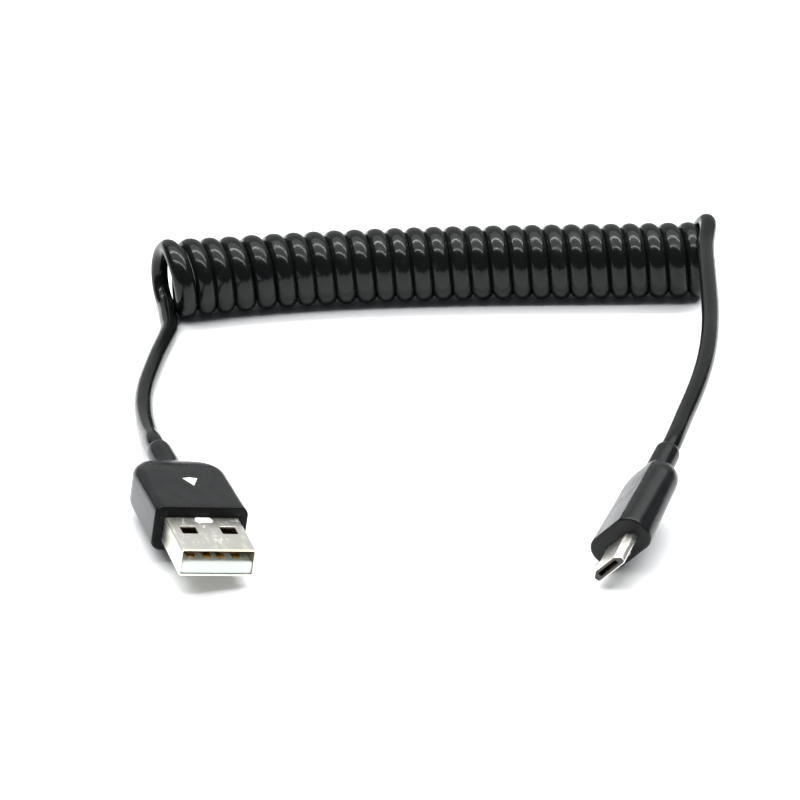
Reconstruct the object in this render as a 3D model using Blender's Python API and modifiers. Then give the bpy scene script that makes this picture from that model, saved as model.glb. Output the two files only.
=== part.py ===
"""A coiled cable: a USB-A plug, a straight tail, a retractile coil, a second tail and a micro-B plug.

Metres, +Z up. The cable lies on the plane z = 0: the coil runs along X behind, and both plugs point
towards -Y. The origin is on that plane, in the middle of the two plugs' box.
Each plug is built in its own frame, whose origin is the middle of the plug's mouth: x runs across
the plug, y back along it towards the cord, z up through its thickness.
"""

import math

import bmesh
import bpy
import numpy as np
from mathutils import Euler, Matrix, Vector

# Clearances between separate pieces
SEAT_GAP = 0.0003  # cord to plug, cord to coil
FIT_GAP = 0.0001  # pieces that fit inside a plug

# Both overmoulds
FRONT_EDGE = 0.0004  # bevel round the front face
RELIEF_END = 0.35  # rounding of a strain relief's end, as a share of its radius

# Cord and coil
CORD_DIAMETER = 0.0031
COIL_RADIUS = 0.0052  # from the coil's axis to the middle of the cord
COIL_PITCH = 0.00360
COIL_TURNS = 26  # whole turns in the coil's own solid, without the half turn at each end
COIL_MIDDLE = (0.00592, 0.08609)  # on the floor
COIL_YAW = 4.1  # degrees, from +X towards +Y
COIL_BORE_RADIUS = COIL_RADIUS - CORD_DIAMETER / 2
GROOVE_DEPTH = 0.0008  # how far the groove between two turns is cut below their tops
TAIL_B_LIFT = 0.0016  # the last half turn stands open above the others

# USB-A plug
A_TIP = (-0.02913, -0.02008)  # the middle of its mouth, on the floor plan
A_TURN = (-2.13, 9.9, 16.8)  # pitch, roll and yaw, degrees
A_SHELL_WIDTH = 0.0120
A_SHELL_HEIGHT = 0.0045
A_SHELL_CORNER = 0.0005
A_SHELL_OUT = 0.01135  # length that stands out of the overmould
SHELL_WALL = 0.0003
SHELL_ROOT = 0.0022  # length of a shell inside its overmould
A_WINDOW_WIDTH = 0.0025
A_WINDOW_LENGTH = 0.0026
A_WINDOW_FROM_TIP = 0.0056
A_WINDOW_SIDE = 0.00315  # from the plug's middle to a window's middle
A_KEY_WIDTH = 0.0028
A_KEY_LENGTH = 0.0019  # the slot where the insulator shows, just ahead of the overmould
A_TONGUE_TOP = 0.0001  # above the plug's middle plane
A_TONGUE_RECESS = 0.0005
A_BLOCK_FROM_TIP = 0.0091  # the insulator fills the shell from here back
A_CONTACT_WIDTH = 0.0010
A_CONTACT_THICKNESS = 0.00025
A_CONTACT_SIDES = (-0.0035, -0.0010, 0.0010, 0.0035)
A_CONTACT_FROM_TIP = 0.0011
A_BODY_WIDTH = 0.0150
A_BODY_HEIGHT = 0.00765
A_BODY_LENGTH = 0.0216
A_BODY_EDGE = 0.0017  # radius of its long edges
A_BODY_SHOULDER = 0.0068  # length over which its width falls to the strain relief's
A_BODY_LIFT = 0.0003  # its middle stands above the shell's middle by this
A_REAR_EDGE = 0.0013  # its half height rounds off by this over the same length
A_REAR_DROP = 0.0007  # its upper face falls by this from front to rear
A_RELIEF_RADIUS = 0.0020
A_RELIEF_ROOT = 0.0024  # its radius where it leaves the body
A_RELIEF_LENGTH = 0.0105

# Micro-B plug
B_TIP = (0.03064, -0.01969)
B_TURN = (8.56, -49.0, -21.15)
B_SHELL_WIDTH = 0.00685
B_SHELL_TOP_WIDTH = 0.0046  # its narrow side
B_SHELL_HEIGHT = 0.0018
B_SHELL_CORNER = 0.0005
B_SHELL_SLOPE = 0.00007  # height on its short sides where they start to lean in
B_SHELL_OUT = 0.0062
B_SLOT_WIDTH = 0.0042
B_SLOT_HEIGHT = 0.0005
B_INSERT_RECESS = 0.0002
B_CONTACT_WIDTH = 0.0004
B_CONTACT_PITCH = 0.00065
B_CONTACT_THICKNESS = 0.00015
B_CONTACT_FROM_TIP = 0.0008
B_LATCH_SIDE = 0.0019  # from the plug's middle to a latch's middle
B_LATCH_WIDTH = 0.0007
B_LATCH_LENGTH = 0.0021
B_LATCH_FROM_TIP = 0.0024
B_LATCH_CREST = (0.45, 0.62)  # its highest part, as shares of its length
B_LATCH_RISE = 0.0005  # stands out of the shell's wide side by this
B_BODY_WIDTH = 0.01135
B_BODY_HEIGHT = 0.00715
B_REAR_HEIGHT = 0.0058  # its height where the rear shoulder starts
B_BODY_LENGTH = 0.0186
B_BODY_EDGE = 0.0028
B_BODY_LIFT = 0.0001
B_SHOULDER_WIDE = 0.0040  # length over which its width falls to the strain relief's
B_SHOULDER_HIGH = 0.0070  # length over which its height does
B_RELIEF_RADIUS = 0.0020
B_RELIEF_ROOT = 0.0021
B_RELIEF_LENGTH = 0.0072

# Route of the tails between the coil and the plugs: points along the middle of the cord, as x, y
# and z above the floor
TAIL_A_ROUTE = (
    (-0.0422, 0.0699, 0.00155),
    (-0.0430, 0.0666, 0.00155),
    (-0.0439, 0.0602, 0.00155),
    (-0.0446, 0.0539, 0.00155),
    (-0.0452, 0.0477, 0.00155),
    (-0.0451, 0.0416, 0.00160),
    (-0.0444, 0.0350, 0.00185),
    (-0.0430, 0.0273, 0.00285),
)
TAIL_B_ROUTE = (
    (0.0537, 0.0813, 0.01295),
    (0.0532, 0.0697, 0.01240),
    (0.0531, 0.0622, 0.01200),
    (0.0526, 0.0550, 0.01160),
    (0.0519, 0.0475, 0.01140),
    (0.0507, 0.0405, 0.01100),
    (0.0493, 0.0338, 0.01060),
    (0.0475, 0.0272, 0.01020),
    (0.0455, 0.0208, 0.00980),
)

CORNER_STEPS = 6  # points on each rounded corner of a moulded section
SCREW_STEPS = 24
CUT_MARGIN = 0.001  # how far a cutter runs past what it cuts


def clear_scene():
    for obj in list(bpy.data.objects):
        bpy.data.objects.remove(obj, do_unlink=True)


def new_collection(name):
    collection = bpy.data.collections.new(name)
    bpy.context.scene.collection.children.link(collection)
    return collection


def material(name, colour, roughness, metallic=0.0):
    made = bpy.data.materials.new(name)
    made.use_nodes = True
    shader = made.node_tree.nodes["Principled BSDF"]
    shader.inputs["Base Color"].default_value = (*colour, 1.0)
    shader.inputs["Roughness"].default_value = roughness
    shader.inputs["Metallic"].default_value = metallic
    made.diffuse_color = (*colour, 1.0)
    return made


def object_from(name, mesh, where, frame=None, finish=None):
    obj = bpy.data.objects.new(name, mesh)
    where.objects.link(obj)
    obj.parent = frame
    if finish:
        mesh.materials.append(finish)
    return obj


def shade(obj):
    obj.data.shade_smooth()
    obj.data.set_sharp_from_angle(angle=math.radians(35))


def cutter(obj):
    obj.hide_render = True
    obj.display_type = "WIRE"
    return obj


def combine(obj, other, operation):
    modifier = obj.modifiers.new(operation.title(), "BOOLEAN")
    modifier.operation = operation
    modifier.solver = "EXACT"
    modifier.object = cutter(other)


def box(name, low, high, where, frame, finish=None):
    """A box between two corners of its frame."""
    low, high = Vector(low), Vector(high)
    shape = bmesh.new()
    bmesh.ops.create_cube(shape, size=1.0)
    bmesh.ops.scale(shape, vec=high - low, verts=shape.verts)
    bmesh.ops.translate(shape, vec=(high + low) / 2, verts=shape.verts)
    mesh = bpy.data.meshes.new(name)
    shape.to_mesh(mesh)
    shape.free()
    return object_from(name, mesh, where, frame, finish)


def corner_arc(x, z, radius, start, steps):
    """Points on a quarter circle, from the start angle round by a quarter turn."""
    angles = np.radians(start) + np.linspace(0, math.pi / 2, steps)
    return np.stack([x + radius * np.cos(angles), z + radius * np.sin(angles)], axis=1)


def rounded_rectangle(half_width, half_height, radius, steps=CORNER_STEPS):
    """Its outline as x and z, anticlockwise from the right side's lower end."""
    radius = min(radius, half_width, half_height) * 0.999
    inner_x, inner_z = half_width - radius, half_height - radius
    return np.concatenate(
        [
            corner_arc(inner_x, inner_z, radius, 0, steps),
            corner_arc(-inner_x, inner_z, radius, 90, steps),
            corner_arc(-inner_x, -inner_z, radius, 180, steps),
            corner_arc(inner_x, -inner_z, radius, 270, steps),
        ]
    )


def ring(outline, y, lift=0.0):
    """An outline's points as x, y and z, at one place along the plug."""
    return np.stack([outline[:, 0], np.full(len(outline), y), outline[:, 1] + lift], axis=1)


def tube_mesh(name, rings, closed=True):
    """The surface through equal rings of points, with its two ends filled if it is closed."""
    shape = bmesh.new()
    loops = [[shape.verts.new(point) for point in one] for one in rings]
    for near, far in zip(loops, loops[1:]):
        for i, vertex in enumerate(near):
            j = (i + 1) % len(near)
            shape.faces.new((vertex, near[j], far[j], far[i]))
    if closed:
        shape.faces.new(loops[0])
        shape.faces.new(loops[-1])
    bmesh.ops.recalc_face_normals(shape, faces=shape.faces)
    mesh = bpy.data.meshes.new(name)
    shape.to_mesh(mesh)
    shape.free()
    return mesh


def eased(share):
    """How much of a size is left at this share of the way along a round shoulder."""
    return math.sqrt(max(0.0, 1.0 - share * share))


def strain_relief(start, length, root, radius):
    """Rings of the round collar behind a plug's body, narrowing to its rounded end."""
    end_radius = RELIEF_END * radius
    rings = [ring(rounded_rectangle(root, root, root), start)]
    for share in (0.0, 0.5, 0.85, 1.0):
        size = radius - end_radius + end_radius * eased(share)
        y = start + length - end_radius * (1.0 - share)
        rings.append(ring(rounded_rectangle(size, size, size), y))
    return rings


def usb_a_sections():
    """The overmould's rings, from its front face back to the end of its strain relief."""
    front, rear = A_SHELL_OUT, A_SHELL_OUT + A_BODY_LENGTH
    half_width, half_height = A_BODY_WIDTH / 2, A_BODY_HEIGHT / 2
    rings = [
        (front, half_width - FRONT_EDGE, half_height - FRONT_EDGE),
        (front + FRONT_EDGE, half_width, half_height),
    ]
    for share in (0.0, 0.2, 0.4, 0.6, 0.8, 0.9, 0.97):
        y = rear - A_BODY_SHOULDER * (1.0 - share)
        width = A_RELIEF_ROOT + (half_width - A_RELIEF_ROOT) * eased(share)
        rings.append((y, width, half_height - A_REAR_EDGE * (1.0 - eased(share))))
    body = []
    for y, width, height in rings:
        fall = A_REAR_DROP / 2 * (y - front) / A_BODY_LENGTH
        body.append(ring(rounded_rectangle(width, height - fall, A_BODY_EDGE), y, A_BODY_LIFT - fall))
    return body + strain_relief(rear, A_RELIEF_LENGTH, A_RELIEF_ROOT, A_RELIEF_RADIUS)


def micro_sections():
    """The overmould's rings: a flat oval that falls away to its strain relief at the rear."""
    front, rear = B_SHELL_OUT, B_SHELL_OUT + B_BODY_LENGTH
    half_width, half_height = B_BODY_WIDTH / 2, B_BODY_HEIGHT / 2
    rings = [
        (front, half_width - FRONT_EDGE, half_height - FRONT_EDGE),
        (front + FRONT_EDGE, half_width, half_height),
    ]
    for share in (0.0, 0.25, 0.5, 0.7, 0.85, 0.95):
        y = rear - B_SHOULDER_HIGH * (1.0 - share)
        across = max(0.0, (y - rear + B_SHOULDER_WIDE) / B_SHOULDER_WIDE)
        width = B_RELIEF_RADIUS + (half_width - B_RELIEF_RADIUS) * eased(across)
        height = B_RELIEF_RADIUS + (B_REAR_HEIGHT / 2 - B_RELIEF_RADIUS) * eased(share)
        rings.append((y, width, height))
    body = [ring(rounded_rectangle(w, h, B_BODY_EDGE), y, B_BODY_LIFT) for y, w, h in rings]
    return body + strain_relief(rear, B_RELIEF_LENGTH, B_RELIEF_ROOT, B_RELIEF_RADIUS)


def plug_frame(name, tip, turn, sections):
    """An empty at the plug's mouth, as high as lets the plug's lowest point rest on the floor."""
    turned = Euler([math.radians(angle) for angle in turn], "YXZ")
    low = min((turned.to_matrix() @ Vector(point)).z for one in sections for point in one)
    frame = bpy.data.objects.new(name, None)
    frame.empty_display_size = 0.01
    frame.rotation_mode = "YXZ"
    frame.rotation_euler = turned
    frame.location = (*tip, -low)
    bpy.context.scene.collection.objects.link(frame)
    return frame


def shell_mesh(name, outline, length):
    return tube_mesh(name, [ring(outline, 0.0), ring(outline, length)], closed=False)


def add_wall(obj):
    wall = obj.modifiers.new("Wall", "SOLIDIFY")
    wall.thickness = SHELL_WALL
    wall.offset = -1.0
    wall.use_even_offset = True


def overmould(name, sections, pocket_outline, front, parts, cutters, frame, finishes):
    """The moulded body, with the pocket that its shell stands in."""
    body = object_from(name, tube_mesh(name, sections), parts, frame, finishes["black_pvc"])
    pocket_rings = [
        ring(pocket_outline, front - CUT_MARGIN),
        ring(pocket_outline, front + SHELL_ROOT + FIT_GAP),
    ]
    pocket = object_from(f"{name}_pocket", tube_mesh(f"{name}_pocket", pocket_rings), cutters, frame)
    combine(body, pocket, "DIFFERENCE")
    shade(body)
    return body


def usb_a_plug(parts, cutters, finishes):
    sections = usb_a_sections()
    frame = plug_frame("usb_a_frame", A_TIP, A_TURN, sections)
    half_width, half_height = A_SHELL_WIDTH / 2, A_SHELL_HEIGHT / 2
    pocket = rounded_rectangle(half_width + FIT_GAP, half_height + FIT_GAP, A_SHELL_CORNER, 3)
    overmould("usb_a_overmould", sections, pocket, A_SHELL_OUT, parts, cutters, frame, finishes)

    length = A_SHELL_OUT + SHELL_ROOT
    outline = rounded_rectangle(half_width, half_height, A_SHELL_CORNER, 4)
    shell_surface = shell_mesh("usb_a_shell", outline, length)
    shell = object_from("usb_a_shell", shell_surface, parts, frame, finishes["plated_steel"])
    add_wall(shell)
    for side in (-A_WINDOW_SIDE, A_WINDOW_SIDE):
        low = (side - A_WINDOW_WIDTH / 2, A_WINDOW_FROM_TIP, half_height - SHELL_WALL - CUT_MARGIN)
        high = (side + A_WINDOW_WIDTH / 2, A_WINDOW_FROM_TIP + A_WINDOW_LENGTH, half_height + CUT_MARGIN)
        combine(shell, box("usb_a_window", low, high, cutters, frame), "DIFFERENCE")
    key_low = (-A_KEY_WIDTH / 2, A_SHELL_OUT - A_KEY_LENGTH, half_height - SHELL_WALL - CUT_MARGIN)
    key_high = (A_KEY_WIDTH / 2, A_SHELL_OUT + FIT_GAP, half_height + CUT_MARGIN)
    combine(shell, box("usb_a_key_slot", key_low, key_high, cutters, frame), "DIFFERENCE")

    inner_x = half_width - SHELL_WALL - FIT_GAP
    inner_z = half_height - SHELL_WALL - FIT_GAP
    tongue = box(
        "usb_a_tongue",
        (-inner_x, A_TONGUE_RECESS, -inner_z),
        (inner_x, length, A_TONGUE_TOP),
        parts,
        frame,
        finishes["white_plastic"],
    )
    block_low = (-inner_x, A_BLOCK_FROM_TIP, -inner_z)
    block = box("usb_a_block", block_low, (inner_x, length, inner_z), cutters, frame)
    combine(tongue, block, "UNION")
    key = box(
        "usb_a_key",
        (key_low[0] + FIT_GAP, key_low[1] + FIT_GAP, 0.0),
        (key_high[0] - FIT_GAP, key_high[1] - FIT_GAP, half_height - FIT_GAP),
        cutters,
        frame,
    )
    combine(tongue, key, "UNION")
    for number, side in enumerate(A_CONTACT_SIDES, 1):
        bottom = A_TONGUE_TOP + FIT_GAP / 2
        box(
            f"usb_a_contact_{number}",
            (side - A_CONTACT_WIDTH / 2, A_CONTACT_FROM_TIP, bottom),
            (side + A_CONTACT_WIDTH / 2, A_BLOCK_FROM_TIP - FIT_GAP, bottom + A_CONTACT_THICKNESS),
            parts,
            frame,
            finishes["brass"],
        )
    return frame, sections[-1][0][1]


def micro_outline():
    """The shell's outline: a wide side with round corners, and a narrow side opposite."""
    half, height = B_SHELL_WIDTH / 2, B_SHELL_HEIGHT / 2
    lower = corner_arc(half - B_SHELL_CORNER, -height + B_SHELL_CORNER, B_SHELL_CORNER, 270, 4)
    right = np.concatenate([lower, [(half, B_SHELL_SLOPE), (B_SHELL_TOP_WIDTH / 2, height)]])
    return np.concatenate([right, right[::-1] * (-1, 1)])


def grown(outline, distance):
    """An anticlockwise outline with every side moved out by a distance, or in if it is negative."""
    along = np.roll(outline, -1, axis=0) - outline
    along /= np.linalg.norm(along, axis=1, keepdims=True)
    outward = np.stack([along[:, 1], -along[:, 0]], axis=1)
    before = np.roll(outward, 1, axis=0)
    corner = (outward + before) / (1.0 + (outward * before).sum(axis=1, keepdims=True))
    return outline + distance * corner


def micro_plug(parts, cutters, finishes):
    sections = micro_sections()
    frame = plug_frame("micro_frame", B_TIP, B_TURN, sections)
    pocket = grown(micro_outline(), FIT_GAP)
    overmould("micro_overmould", sections, pocket, B_SHELL_OUT, parts, cutters, frame, finishes)
    length = B_SHELL_OUT + SHELL_ROOT
    shell_surface = shell_mesh("micro_shell", micro_outline(), length)
    shell = object_from("micro_shell", shell_surface, parts, frame, finishes["plated_steel"])
    add_wall(shell)
    inner = grown(micro_outline(), -SHELL_WALL - FIT_GAP)
    insert_rings = [ring(inner, y) for y in (B_INSERT_RECESS, length)]
    insert = object_from(
        "micro_insert", tube_mesh("micro_insert", insert_rings), parts, frame, finishes["grey_plastic"]
    )
    slot = box(
        "micro_slot",
        (-B_SLOT_WIDTH / 2, -CUT_MARGIN, -B_SLOT_HEIGHT / 2),
        (B_SLOT_WIDTH / 2, B_SHELL_OUT, B_SLOT_HEIGHT / 2),
        cutters,
        frame,
    )
    combine(insert, slot, "DIFFERENCE")
    for number in range(5):
        side = (number - 2) * B_CONTACT_PITCH
        bottom = -B_SLOT_HEIGHT / 2 + FIT_GAP / 2
        box(
            f"micro_contact_{number + 1}",
            (side - B_CONTACT_WIDTH / 2, B_CONTACT_FROM_TIP, bottom),
            (side + B_CONTACT_WIDTH / 2, B_SHELL_OUT - FIT_GAP, bottom + B_CONTACT_THICKNESS),
            parts,
            frame,
            finishes["brass"],
        )
    for name, side in (("left", -B_LATCH_SIDE), ("right", B_LATCH_SIDE)):
        micro_latch(f"micro_latch_{name}", side, shell, parts, cutters, frame, finishes["plated_steel"])
    return frame, sections[-1][0][1]


def micro_latch(name, side, shell, parts, cutters, frame, finish):
    """A spring hook: a ramp that stands out through a window in the shell's wide side."""
    outer = -B_SHELL_HEIGHT / 2
    near, far = B_LATCH_FROM_TIP, B_LATCH_FROM_TIP + B_LATCH_LENGTH
    half = B_LATCH_WIDTH / 2
    window = box(
        f"{name}_window",
        (side - half - FIT_GAP, near - FIT_GAP, outer - CUT_MARGIN),
        (side + half + FIT_GAP, far + FIT_GAP, outer + SHELL_WALL + FIT_GAP / 2),
        cutters,
        frame,
    )
    combine(shell, window, "DIFFERENCE")
    seat = outer + SHELL_WALL
    crest = [(near + share * B_LATCH_LENGTH, outer - B_LATCH_RISE) for share in B_LATCH_CREST]
    ramp = [(near, seat), (near, outer), *crest, (far, outer), (far, seat)]
    sides = [[(side + x, y, z) for y, z in ramp] for x in (-half, half)]
    object_from(name, tube_mesh(name, sides), parts, frame, finish)


def coil_frame():
    """An empty on the coil's axis, at its middle, with x along the axis."""
    frame = bpy.data.objects.new("coil_frame", None)
    frame.empty_display_size = 0.01
    frame.location = (*COIL_MIDDLE, COIL_RADIUS + CORD_DIAMETER / 2)
    frame.rotation_euler = (0.0, 0.0, math.radians(COIL_YAW))
    bpy.context.scene.collection.objects.link(frame)
    return frame


def coil_solid(parts, frame, finish):
    """One turned solid: a bored tube whose outside rises and falls once for each turn of cord."""
    length = COIL_TURNS * COIL_PITCH
    outer = COIL_RADIUS + CORD_DIAMETER / 2
    shoulder = GROOVE_DEPTH / 4
    swell = ((0.0, GROOVE_DEPTH), (0.16, shoulder), (0.38, 0.0), (0.62, 0.0), (0.84, shoulder))
    profile = []
    for turn in range(COIL_TURNS):
        for share, depth in swell:
            profile.append((outer - depth, length / 2 - (turn + share) * COIL_PITCH))
    profile.append((outer - GROOVE_DEPTH, -length / 2))
    profile += [(COIL_BORE_RADIUS, -length / 2), (COIL_BORE_RADIUS, length / 2)]
    shape = bmesh.new()
    points = [shape.verts.new((radius, 0.0, along)) for radius, along in profile]
    for first, second in zip(points, points[1:] + points[:1]):
        shape.edges.new((first, second))
    mesh = bpy.data.meshes.new("coil")
    shape.to_mesh(mesh)
    shape.free()
    coil = object_from("coil", mesh, parts, frame, finish)
    coil.rotation_euler = (0.0, math.pi / 2, 0.0)
    screw = coil.modifiers.new("Turned", "SCREW")
    screw.steps = screw.render_steps = SCREW_STEPS
    screw.use_merge_vertices = True
    screw.merge_threshold = 0.00001
    screw.use_smooth_shade = True
    return coil


def half_turn(frame, end, start_angle, end_angle, lift=0.0):
    """Points round one end of the coil, as the cord runs there; angles from +Y towards +Z."""
    x = end * (COIL_TURNS * COIL_PITCH / 2 + SEAT_GAP + CORD_DIAMETER / 2)
    points = []
    for angle in np.radians(np.linspace(start_angle, end_angle, 9)):
        rise = lift * max(0.0, math.sin(angle))
        place = Vector((x, COIL_RADIUS * math.cos(angle), COIL_RADIUS * math.sin(angle) + rise))
        points.append(frame.matrix_world @ place)
    return points


def smooth_curve(points, pieces=24):
    """Points close together on a smooth curve through the given ones."""
    points = [Vector(point) for point in points]
    ends = [points[0] * 2 - points[1], *points, points[-1] * 2 - points[-2]]
    curve = []
    for before, start, end, after in zip(ends, ends[1:], ends[2:], ends[3:]):
        for step in range(pieces):
            t = step / pieces
            from_line = start * 2 + (end - before) * t
            bend = (before * 2 - start * 5 + end * 4 - after) * t * t
            twist = (start * 3 - before - end * 3 + after) * t * t * t
            curve.append((from_line + bend + twist) / 2)
    return [*curve, points[-1]]


def thinned(curve):
    """A point every two cord diameters, or sooner where the cord turns by 22 degrees."""
    kept, run, heading = [curve[0]], 0.0, (curve[1] - curve[0]).normalized()
    for before, point in zip(curve, curve[1:-1]):
        run += (point - before).length
        turned = heading.angle((point - before).normalized(), 0.0)
        if run >= 2 * CORD_DIAMETER or turned >= math.radians(22):
            kept.append(point)
            run, heading = 0.0, (point - before).normalized()
    return [*kept, curve[-1]]


def cord_tube(name, route, parts, finish):
    """A round tube along the route, with filled ends."""
    points = thinned(smooth_curve(route))
    data = bpy.data.curves.new(name, "CURVE")
    data.dimensions = "3D"
    data.bevel_depth = CORD_DIAMETER / 2
    data.bevel_resolution = 2
    data.use_fill_caps = True
    spline = data.splines.new("POLY")
    spline.points.add(len(points) - 1)
    for place, point in zip(spline.points, points):
        place.co = (*point, 1.0)
    data.materials.append(finish)
    tube = bpy.data.objects.new(name, data)
    parts.objects.link(tube)
    return tube


def out_of_plug(frame, length):
    """The first points of a cord, straight back out of the end of a strain relief."""
    starts = (length + SEAT_GAP, length + SEAT_GAP + CORD_DIAMETER)
    return [frame.matrix_world @ Vector((0.0, y, 0.0)) for y in starts]


def main():
    clear_scene()
    parts = new_collection("coiled_micro_usb_cable")
    cutters = new_collection("cutters")
    finishes = {
        "black_pvc": material("black_pvc", (0.018, 0.019, 0.020), 0.35),
        "cord_pvc": material("cord_pvc", (0.012, 0.013, 0.014), 0.25),
        "plated_steel": material("plated_steel", (0.78, 0.76, 0.70), 0.22, 1.0),
        "white_plastic": material("white_plastic", (0.86, 0.90, 0.86), 0.40),
        "grey_plastic": material("grey_plastic", (0.06, 0.06, 0.065), 0.45),
        "brass": material("brass", (0.72, 0.48, 0.18), 0.28, 1.0),
    }
    plug_a, length_a = usb_a_plug(parts, cutters, finishes)
    plug_b, length_b = micro_plug(parts, cutters, finishes)
    coil = coil_frame()
    coil_solid(parts, coil, finishes["cord_pvc"])
    bpy.context.view_layer.update()
    leave_a = half_turn(coil, -1, 90, -90)
    route_a = [*leave_a, *TAIL_A_ROUTE, *reversed(out_of_plug(plug_a, length_a))]
    cord_tube("tail_a", route_a, parts, finishes["cord_pvc"])
    leave_b = half_turn(coil, 1, -90, 90, TAIL_B_LIFT)
    route_b = [*leave_b, *TAIL_B_ROUTE, *reversed(out_of_plug(plug_b, length_b))]
    cord_tube("tail_b", route_b, parts, finishes["cord_pvc"])


main()
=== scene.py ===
import math
import bpy
import numpy as np
from mathutils import Matrix, Vector


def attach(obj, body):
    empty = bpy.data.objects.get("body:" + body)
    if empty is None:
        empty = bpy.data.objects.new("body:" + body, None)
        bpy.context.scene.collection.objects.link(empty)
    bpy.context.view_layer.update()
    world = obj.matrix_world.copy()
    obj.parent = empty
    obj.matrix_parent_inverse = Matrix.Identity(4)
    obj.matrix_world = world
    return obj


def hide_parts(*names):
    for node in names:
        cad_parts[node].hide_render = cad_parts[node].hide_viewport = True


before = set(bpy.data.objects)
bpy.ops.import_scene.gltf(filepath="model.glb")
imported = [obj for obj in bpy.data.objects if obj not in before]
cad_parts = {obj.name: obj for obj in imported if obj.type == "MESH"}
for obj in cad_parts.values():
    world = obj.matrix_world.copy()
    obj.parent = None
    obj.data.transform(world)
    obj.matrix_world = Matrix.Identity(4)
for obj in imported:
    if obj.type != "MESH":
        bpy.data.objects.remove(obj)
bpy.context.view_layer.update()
mm = 0.001  # shapes are worked out in millimetres and placed in metres
print("frame loaded:", len(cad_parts), "nodes")

camera = {  # mm and degrees; the picture is this many pixels wide
    "distance": 550.0, "downward": 27.2, "lens": 143.47, "aim": (-1.282, 45.236, 0.0), "picture": 800,
}
plugA = {"mouth": (-29.13, -20.08, 5.454), "turn": (-2.13, 9.9, 16.8)}  # mm; pitch, roll and yaw in degrees
plugB = {"mouth": (30.64, -19.69, 4.361), "turn": (8.56, -49.0, -21.15)}


# A plug's axes in the row frame: roll about y, then pitch about x, then yaw about z.
def plugAxes(plug):
    pitch, roll, yaw = np.radians(plug["turn"])
    aboutX = np.array([[1, 0, 0],
                       [0, math.cos(pitch), -math.sin(pitch)],
                       [0, math.sin(pitch), math.cos(pitch)]])
    aboutY = np.array([[math.cos(roll), 0, math.sin(roll)], [0, 1, 0], [-math.sin(roll), 0, math.cos(roll)]])
    aboutZ = np.array([[math.cos(yaw), -math.sin(yaw), 0], [math.sin(yaw), math.cos(yaw), 0], [0, 0, 1]])
    return aboutZ @ aboutX @ aboutY


def inPlug(plug, points):  # a plug's own millimetres to the row frame's metres
    return (np.asarray(points) @ plugAxes(plug).T + plug["mouth"]) * mm


class Wire:  # a socket that takes part in Python expressions; each operator adds one Math node
    def __init__(self, shader, socket):
        self.shader, self.socket = shader, socket

    def math(self, operation, *others):
        return self.shader.add("ShaderNodeMath", {"operation": operation}, dict(enumerate((self, *others))))

    def __add__(self, other):
        return self.math("ADD", other)

    def __radd__(self, other):
        return self.math("ADD", other)

    def __sub__(self, other):
        return self.math("SUBTRACT", other)

    def __rsub__(self, other):
        return self.shader.number(other).math("SUBTRACT", self)

    def __mul__(self, other):
        return self.math("MULTIPLY", other)

    def __rmul__(self, other):
        return self.math("MULTIPLY", other)

    def step(self, low, high):  # 0 at low, 1 at high, eased between; high may be the smaller
        eased = {"interpolation_type": "SMOOTHSTEP"}
        return self.shader.add("ShaderNodeMapRange", eased, {0: self, 1: low, 2: high})


class Shader:  # one material; add takes a node's type, its settings first, then its sockets
    def __init__(self, name, slot=None):
        self.material = bpy.data.materials.new(name)
        self.material.use_nodes = True
        self.tree = self.material.node_tree
        self.surface = self.tree.nodes["Principled BSDF"]
        self.slot = slot

    def add(self, kind, settings=None, sockets=None):
        node = self.tree.nodes.new(kind)
        for key, value in (settings or {}).items():
            setattr(node, key, value)
        self.join(node, sockets or {})
        return Wire(self, node.outputs[0])

    def join(self, node, sockets):
        for key, value in sockets.items():
            if isinstance(value, Wire):
                self.tree.links.new(value.socket, node.inputs[key])
            else:
                node.inputs[key].default_value = value

    def number(self, value):
        return self.add("ShaderNodeMath", {"operation": "ADD"}, {0: value, 1: 0.0})

    def place(self):  # Object coordinates, metres
        node = self.tree.nodes.new("ShaderNodeTexCoord")
        return Wire(self, node.outputs["Object"])

    def placeIn(self, plug):  # a plug's own x, y and z in millimetres
        turn = plugAxes(plug).T
        return self.add("ShaderNodeMapping", None, {
            "Vector": self.place(), "Scale": (1 / mm, 1 / mm, 1 / mm),
            "Rotation": Matrix(turn.tolist()).to_euler(),
            "Location": (-turn @ np.array(plug["mouth"])).tolist()})

    def parted(self, place):  # a vector's x, y and z
        node = self.tree.nodes.new("ShaderNodeSeparateXYZ")
        self.join(node, {0: place})
        return [Wire(self, output) for output in node.outputs]

    def noise(self, place, scale, detail=2.0, rough=0.5):  # scale is a number, or one for each axis
        if isinstance(scale, tuple):
            place, scale = self.add("ShaderNodeMapping", None, {"Vector": place, "Scale": scale}), 1.0
        sockets = {"Vector": place, "Scale": scale, "Detail": detail, "Roughness": rough}
        return self.add("ShaderNodeTexNoise", None, sockets)

    def blend(self, share, first, second):  # colours mixed by a share from 0 to 1
        node = self.tree.nodes.new("ShaderNodeMix")
        node.data_type = "RGBA"
        self.join(node, {0: share})
        for number, value in ((6, first), (7, second)):
            self.join(node, {number: value if isinstance(value, Wire) else (*value, 1.0)})
        return Wire(self, node.outputs[2])

    def relief(self, height, strength, distance):
        sockets = {"Strength": strength, "Distance": distance, "Height": height}
        return self.add("ShaderNodeBump", None, sockets)

    def finish(self, **sockets):
        self.join(self.surface, {key.replace("_", " "): value for key, value in sockets.items()})
        return self


# Quads between neighbouring rows of points; a row closes on itself, and so do the rows if wrapped.
def gridFaces(rows, around, wrapRows=False):
    i, j = np.meshgrid(np.arange(rows if wrapRows else rows - 1), np.arange(around), indexing="ij")
    below, after = (i + 1) % rows, (j + 1) % around
    corners = [i * around + j, i * around + after, below * around + after, below * around + j]
    return np.stack(corners, -1).reshape(-1, 4)


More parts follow.
